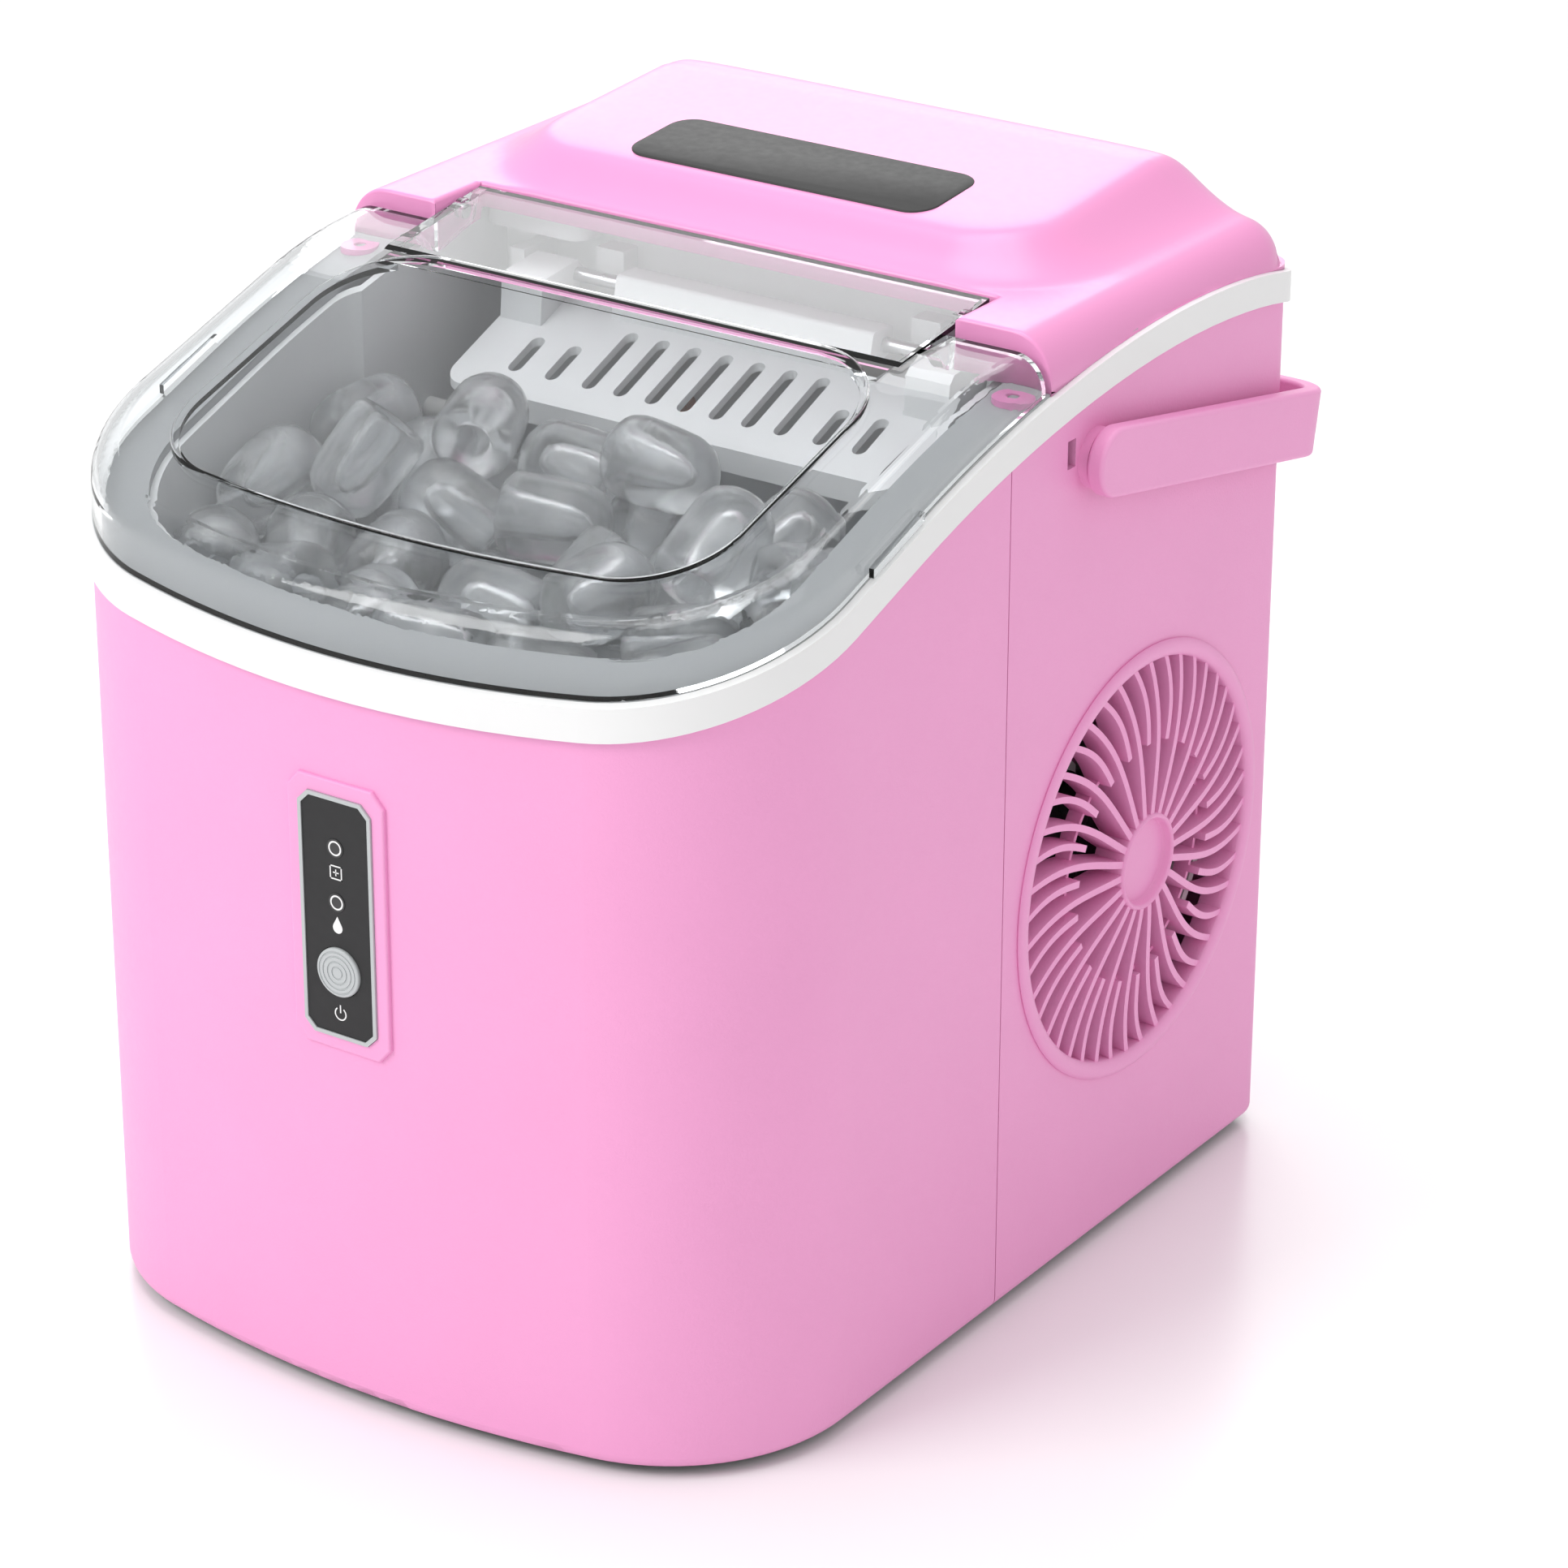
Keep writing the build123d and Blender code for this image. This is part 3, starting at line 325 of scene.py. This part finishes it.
def cov_pt(x, y, z):
    """Carry the square grid over into the rounded rear corners."""
    ax = abs(x)
    if ax > 102.5 and y > 130.6:
        u, v = min(1.0, (ax - 102.5) / 8), min(1.0, (y - 130.6) / 8)
        x = math.copysign(102.5 + 8 * u * math.sqrt(1 - v * v / 2), x)
        y = 130.6 + 8 * v * math.sqrt(1 - u * u / 2)
    return (x, y, z)


def edge_drop(x, y):
    """Small rounding along the cover's cut front edges."""
    r = 0.9
    d = (y - 36.0) if abs(x) < 82 else (y - 16.0)
    if abs(x) >= 82 and y < 36.0:
        d = min(d, abs(x) - 82.0)
    if d < r:
        return r - math.sqrt(max(0.0, r * r - (r - max(d, 0)) ** 2))
    return 0.0


rimz = lambda x, y: min(band_low(y) + band_h(y) + 0.06, 262.0)
B = Build()
idx = {}
for j, y in enumerate(ys):
    for i, x in enumerate(xs):
        if abs(x) < 82 - 1e-6 and y < 36 - 1e-6:
            continue
        cx, cy, _ = cov_pt(x, y, 0)
        z = max(cover_z(cx, cy) - edge_drop(x, y), min(rimz(cx, cy), 262.0) + 0.04)
        idx[i, j] = len(B.v)
        B.v.append(cov_pt(x, y, z))
for j in range(len(ys) - 1):
    for i in range(len(xs) - 1):
        c = [(i, j), (i + 1, j), (i + 1, j + 1), (i, j + 1)]
        if all(q in idx for q in c):
            B.f.append(tuple(idx[q] for q in c))


def border_wall(path, zfun, inset=0.0):
    n = len(path)
    low = []
    for q in path:
        x, y, z = B.v[idx[q]]
        low.append((x, y, zfun(x, y)))
    o = len(B.v)
    B.v.extend(low)
    for a in range(n - 1):
        B.f.append((idx[path[a]], idx[path[a + 1]], o + a + 1, o + a))


nx, ny = len(xs), len(ys)
border_wall([(0, j) for j in range(ny)] + [(i, ny - 1) for i in range(nx)] + [(nx - 1, j) for j in reversed(range(ny))], rimz)
i82 = xs.index(82.0)
m82 = xs.index(-82.0)
j36 = ys.index(36.0)
border_wall([(i, 0) for i in range(0, m82 + 1)] + [(m82, j) for j in range(0, j36 + 1)] + [(i, j36) for i in range(m82, i82 + 1)]
            + [(i82, j) for j in reversed(range(0, j36 + 1))] + [(i, 0) for i in range(i82, nx)],
            lambda x, y: 260.4 if abs(x) < 81.9 else band_low(y) + 10.5)
cover = piece("rear_cover_skin", B.v, B.f, "cover_pink", sharp=50)
# thickness inwards
md = cover.modifiers.new("wall", "SOLIDIFY")
md.thickness = 0.0022
md.offset = -1.0
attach(cover, "housing")
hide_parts("rear_cover")


def rounded_rect(x0, x1, y0, y1, r, n=8):
    pts = []
    for cx, cy, a0 in ((x1 - r, y0 + r, -90), (x1 - r, y1 - r, 0), (x0 + r, y1 - r, 90), (x0 + r, y0 + r, 180)):
        for i in range(n + 1):
            a = math.radians(a0 + 90 * i / n)
            pts.append((cx + r * math.cos(a), cy + r * math.sin(a)))
    return pts


def on_slope(pts, dz):
    return [(x, y, DOME_Z0 + DOME_S * (y - 51) + dz) for x, y in pts]


B = Build()
outer = rounded_rect(-48.1, 48.1, 53.4, 82.7, 7.2)
inner = rounded_rect(-47.8, 47.8, 53.7, 82.4, 6.9)
B.strip([on_slope(outer, -1.2), on_slope(outer, -0.1), on_slope(inner, 0.12)])
n = len(inner)
B.add(on_slope(inner, 0.12), [tuple(range(n))])
win = piece("cover_window_panel", B.v, B.f, "window_dark", sharp=60)
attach(win, "housing")
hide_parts("cover_window")

# ------------------------------------------------------------------ side grille
VY, VZ = 65.8, 108.0
B = Build()


def lathe(prof, n=96):
    """prof: (radius, x) pairs around the grille's axis."""
    rings = []
    for r, x in prof:
        rings.append([(x, VY + r * math.cos(2 * math.pi * i / n), VZ + r * math.sin(2 * math.pi * i / n)) for i in range(n)])
    B.strip(rings)


lathe([(58.0, 103.6), (58.0, 110.45), (60.3, 110.5), (60.5, 110.9), (60.2, 111.5), (59.4, 111.9), (58.2, 112.0), (57.0, 111.8), (56.0, 111.2), (55.6, 110.2), (55.5, 108.5), (55.5, 103.6), (58.0, 103.6)])
lathe([(13.4, 104.6), (13.4, 113.0), (13.2, 113.7), (12.7, 114.0), (12.2, 113.8), (11.9, 113.2), (11.8, 111.6), (11.4, 111.2), (6, 111.2), (0.01, 111.2)])
lathe([(13.4, 104.6), (0.01, 104.6)])
lathe([(34.4, 104.4), (34.4, 108.6), (33.8, 108.8), (33.2, 108.6), (33.2, 104.4), (34.4, 104.4)])


def fin(a0, r0, r1, th, w=0.95, lean=0.0, d0=113.4, d1=110.6, dip=0.0):
    rings = []
    m = 14
    for q in range(m + 1):
        u = q / m
        r = r0 + (r1 - r0) * u
        a = math.radians(a0 + th(u))
        front = d0 + (d1 - d0) * u ** 1.3 - dip * math.sin(math.pi * u)
        back = 104.4
        ring = []
        for x, side, k in ((front, -1, 0), (front, 1, 0), (back, 1, 1), (back, -1, 1)):
            t = (side * w + k * lean) / r
            ring.append((x, VY + r * math.cos(a + t), VZ + r * math.sin(a + t)))
        rings.append(ring)
    B.strip(rings)
    B.add(rings[0], [(0, 1, 2, 3)])
    B.add(rings[-1], [(3, 2, 1, 0)])


NF = 22
for i in range(NF):
    a = 360 / NF * i
    fin(a, 13.0, 56.2, lambda u: 5 * u - 4.0 * math.sin(math.pi * u))
    fin(a + 360 / NF / 2, 33.2, 56.2, lambda u: -1.6 + 6.5 * u - 2.0 * math.sin(math.pi * u), d0=112.2)
grille = piece("vent_grille_fins", B.v, B.f, "casing_pink", sharp=45)
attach(grille, "housing")
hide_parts("vent_grille")

# ------------------------------------------------------------------ control panel print
FRONT = -132.6


def disc_ring(B, x, z, r0, r1, y, n=40, a0=0.0, a1=360.0):
    full = abs(a1 - a0 - 360) < 1e-6
    rings = []
    for yy in (y, y + 0.12):
        for r in ((r0, r1) if yy == y else (r1, r0)):
            rings.append([(x + r * math.cos(math.radians(a0 + (a1 - a0) * i / n)), yy, z + r * math.sin(math.radians(a0 + (a1 - a0) * i / n))) for i in range(n if full else n + 1)])
    rings.append(rings[0])
    B.strip(rings, closed=full)


def poly_print(B, pts, y):
    n = len(pts)
    B.add([(p[0], y, p[1]) for p in pts] + [(p[0], y + 0.12, p[1]) for p in pts], [tuple(range(n))] + [(i, (i + 1) % n, (i + 1) % n + n, i + n) for i in range(n)])


B = Build()
yp = FRONT - 1.26
for z in (157.8, 143.1):
    disc_ring(B, 0, z, 1.55, 2.0, yp - 0.1)
# ice sign: a small cube outline; water sign: a drop; button sign: the usual on-off ring and bar
cz = 151.2
for s in ((-1.9, -1.9, 1.9, -1.55), (-1.9, 1.55, 1.9, 1.9), (-1.9, -1.9, -1.55, 1.9), (1.55, -1.9, 1.9, 1.9), (-0.9, -0.15, 0.9, 0.15), (-0.15, -0.9, 0.15, 0.9)):
    poly_print(B, [(s[0], cz + s[1]), (s[2], cz + s[1]), (s[2], cz + s[3]), (s[0], cz + s[3])], yp)
dz = 136.2
drop = [(1.5 * math.cos(math.radians(a)), dz + 1.5 * math.sin(math.radians(a))) for a in range(-210, 31, 15)] + [(0, dz + 3.1)]
poly_print(B, drop, yp)
disc_ring(B, 0, 112.6, 1.5, 1.85, yp, a0=-235, a1=55)
poly_print(B, [(-0.18, 112.8), (0.18, 112.8), (0.18, 115.0), (-0.18, 115.0)], yp)
prints = piece("panel_signs", B.v, B.f, "print_white", sharp=30)
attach(prints, "housing")

# ------------------------------------------------------------------ ice
ICE = [
    (-0.8, -92.4, 152.4, -0.121, 0.870, 0.250, -0.409),
    (-54.9, -85.4, 164.7, 0.015, -0.265, 0.918, 0.294),
    (45.8, -27.2, 165.3, -0.032, 0.239, -0.744, 0.623),
    (70.4, -47.9, 158.6, -0.190, -0.215, 0.718, -0.634),
    (-67.0, -64.3, 152.6, -0.023, -0.724, -0.070, 0.686),
    (-32.9, -87.4, 156.9, 0.457, -0.134, 0.532, 0.700),
    (8.8, -38.9, 159.3, 0.403, -0.733, 0.099, 0.540),
    (15.4, -72.5, 155.3, -0.415, -0.434, 0.549, 0.581),
    (66.4, -81.7, 159.6, 0.637, 0.640, -0.412, -0.122),
    (-72.5, -75.5, 176.5, -0.947, -0.315, -0.023, -0.064),
    (-12.6, -94.4, 175.1, -0.908, 0.059, -0.147, 0.388),
    (-11.0, -22.3, 171.2, -0.425, -0.586, -0.428, -0.541),
    (26.6, -56.2, 169.4, -0.537, 0.274, 0.433, -0.670),
    (53.7, -86.4, 179.8, -0.387, -0.466, -0.599, 0.523),
    (-70.1, -24.0, 167.3, -0.193, 0.440, -0.866, 0.139),
    (-33.3, -26.7, 156.2, -0.380, 0.196, 0.821, 0.379),
    (-10.7, -70.4, 161.7, -0.146, -0.333, -0.640, 0.677),
    (19.2, -22.2, 172.3, 0.075, -0.824, 0.340, -0.447),
    (46.7, -68.0, 159.0, -0.300, -0.872, 0.003, 0.387),
    (-67.4, -47.1, 168.4, 0.499, 0.461, 0.478, 0.557),
    (-49.1, -21.6, 177.1, -0.790, -0.137, 0.187, 0.568),
    (-15.0, -45.2, 167.9, -0.105, 0.648, -0.753, -0.044),
    (35.8, -17.1, 206.3, 0.500, -0.327, 0.211, -0.774),
    (72.9, -67.1, 179.7, -0.198, 0.406, 0.802, 0.391),
    (-36.7, -88.2, 182.6, -0.325, -0.079, -0.890, 0.309),
    (-37.7, -54.4, 161.7, -0.562, -0.819, 0.097, 0.064),
    (13.1, -94.5, 178.5, -0.071, 0.889, 0.389, -0.232),
    (30.4, -36.9, 186.9, 0.794, -0.552, 0.126, -0.222),
    (70.1, -23.5, 172.3, 0.717, -0.333, -0.609, -0.060),
    (-50.4, -63.7, 179.5, 0.383, -0.294, -0.426, -0.765),
    (-24.9, -66.7, 180.7, -0.159, 0.622, -0.469, -0.606),
    (5.4, -42.9, 182.1, -0.383, -0.573, 0.421, -0.589),
    (10.9, -20.4, 198.8, 0.238, -0.261, 0.395, 0.848),
    (50.3, -52.2, 179.3, -0.025, 0.165, -0.865, -0.474),
    (-46.2, -97.6, 203.4, -0.597, 0.213, 0.770, -0.068),
    (-34.1, -18.8, 200.0, 0.237, 0.950, 0.136, -0.153),
    (-12.8, -27.3, 194.1, 0.142, 0.100, 0.612, 0.772),
    (32.3, -88.3, 166.9, -0.354, 0.054, -0.377, -0.854),
    (53.2, -24.9, 190.7, 0.675, -0.712, -0.192, 0.018),
    (-72.6, -24.9, 193.5, -0.656, 0.661, 0.220, 0.288),
    (-36.9, -40.0, 184.7, -0.904, -0.196, 0.369, 0.092),
    (3.8, -71.8, 180.3, -0.088, -0.422, -0.652, -0.624),
    (31.8, -71.8, 187.6, -0.414, -0.476, -0.556, -0.541),
    (71.0, -44.5, 189.6, 0.092, -0.277, -0.240, 0.926),
    (-70.9, -53.6, 190.6, -0.502, 0.009, -0.588, -0.634),
    (-20.0, -94.8, 200.0, -0.656, -0.415, -0.502, 0.381),
    (7.5, -101.0, 202.8, -0.192, -0.722, 0.260, 0.611),
    (44.1, -45.0, 204.6, -0.821, 0.099, 0.381, 0.413),
    (69.7, -86.9, 200.1, -0.423, -0.744, 0.325, 0.403),
    (-74.0, -86.8, 202.4, 0.391, 0.668, -0.220, 0.594),
    (-31.2, -42.4, 208.9, -0.522, 0.154, -0.836, 0.071),
    (8.1, -77.8, 203.3, -0.709, 0.274, 0.578, -0.299),
    (19.0, -53.2, 202.1, 0.689, -0.427, -0.119, -0.573),
    (76.7, -18.5, 200.8, -0.336, -0.072, 0.923, -0.172),
    (-56.0, -71.9, 200.8, 0.064, -0.365, 0.460, 0.807),
    (-32.1, -67.8, 202.9, -0.381, -0.118, -0.655, 0.642),
    (-9.7, -56.1, 195.4, 0.340, -0.732, 0.242, 0.539),
    (35.4, -93.7, 196.9, 0.700, 0.232, -0.662, -0.137),
    (57.6, -66.8, 200.5, 0.511, -0.608, 0.202, -0.573),
    (-54.4, -27.6, 207.7, -0.238, 0.047, 0.549, 0.800),
    (-1.2, -39.1, 212.0, 0.001, 0.703, 0.199, 0.683),
    (34.3, -72.2, 211.1, 0.517, -0.611, 0.418, 0.430),
    (59.3, -24.7, 215.2, -0.453, -0.651, 0.532, -0.295),
    (-78.8, -59.6, 211.8, 0.195, -0.287, 0.600, 0.721),
    (-11.9, -17.1, 217.2, 0.089, 0.735, 0.098, 0.665),
    (57.4, -51.3, 222.8, -0.274, -0.412, -0.756, 0.429),
    (78.7, -42.0, 212.9, -0.585, 0.796, 0.031, 0.152),
    (-79.4, -20.5, 215.8, -0.693, 0.712, 0.079, 0.077),
    (-55.8, -49.8, 219.4, -0.051, -0.688, -0.646, 0.327),
    (17.0, -17.7, 223.7, -0.169, 0.646, -0.291, 0.685),
    (-38.9, -20.2, 225.3, -0.380, -0.147, -0.724, 0.556),
]
PROF = [(0.0, -15.0), (4.0, -14.7), (7.6, -13.4), (10.0, -10.9), (11.2, -7.0), (11.7, -1.0), (12.0, 6.0), (12.0, 10.5), (11.5, 13.2), (10.2, 14.7), (8.4, 15.0), (6.4, 14.7), (5.2, 13.6), (4.7, 11.0), (4.3, 3.0), (3.7, -4.0), (2.4, -7.6), (0.0, -8.8)]
random.seed(4)
B = Build()
SEG = 26
for row in ICE:
    x, y, z, qw, qx, qy, qz = row
    from_q = Matrix(((1 - 2 * (qy * qy + qz * qz), 2 * (qx * qy - qz * qw), 2 * (qx * qz + qy * qw)),
                     (2 * (qx * qy + qz * qw), 1 - 2 * (qx * qx + qz * qz), 2 * (qy * qz - qx * qw)),
                     (2 * (qx * qz - qy * qw), 2 * (qy * qz + qx * qw), 1 - 2 * (qx * qx + qy * qy))))
    flip = random.choice((-1, 1))
    ph = [random.uniform(0, 6.28) for _ in range(3)]
    sc = random.uniform(0.93, 0.985)
    rings = []
    for r, h in PROF:
        ring = []
        for i in range(SEG):
            a = 2 * math.pi * i / SEG
            rr = max(r, 0.02) * sc * (1 + 0.012 * math.sin(2 * a + ph[0]) + 0.008 * math.sin(3 * a + ph[1] + h * 0.2))
            v = from_q @ Vector((rr * math.cos(a), rr * math.sin(a), flip * h * sc))
            ring.append((x + v.x, y + v.y, z + v.z))
        rings.append(ring)
    B.strip(rings)
ice = piece("ice_pile", B.v, B.f, "ice", sharp=80)
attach(ice, "basket")

# ------------------------------------------------------------------ floor, light
w = bpy.data.worlds.new("world")
SC.world = w
w.use_nodes = True
w.node_tree.nodes["Background"].inputs["Color"].default_value = (1, 1, 1, 1)
w.node_tree.nodes["Background"].inputs["Strength"].default_value = 0.74
bpy.ops.mesh.primitive_plane_add(size=12, location=(0, 0, 0))
floor = bpy.context.object
floor.name = "floor"
k = Mat("floor")
k.b.inputs["Base Color"].default_value = (0.9, 0.9, 0.9, 1)
k.b.inputs["Roughness"].default_value = 0.25
floor.data.materials.append(k.m)


def area(name, loc, target, size, power, size_y=None, color=(1, 1, 1)):
    l = bpy.data.lights.new(name, "AREA")
    l.energy = power
    l.color = color
    l.shape = "RECTANGLE"
    l.size, l.size_y = size, size_y or size
    ob = bpy.data.objects.new(name, l)
    SC.collection.objects.link(ob)
    ob.location = loc
    d = Vector(target) - Vector(loc)
    ob.rotation_mode = "QUATERNION"
    ob.rotation_quaternion = d.to_track_quat("-Z", "Y")
    return ob


area("key", (-0.7, -1.3, 1.25), (0, 0, 0.13), 0.9, 15.5)
area("top", (-0.1, 0.05, 1.6), (0, -0.03, 0.2), 0.9, 8.5)
area("back", (-0.95, 1.35, 1.05), (0, 0.05, 0.25), 1.1, 7)
area("right", (1.5, -0.2, 0.9), (0, 0, 0.13), 0.8, 1.6)
SC.view_settings.view_transform = "Standard"
SC.cycles.use_denoising = True
SC.cycles.max_bounces = 16
SC.cycles.transmission_bounces = 14
SC.cycles.transparent_max_bounces = 16
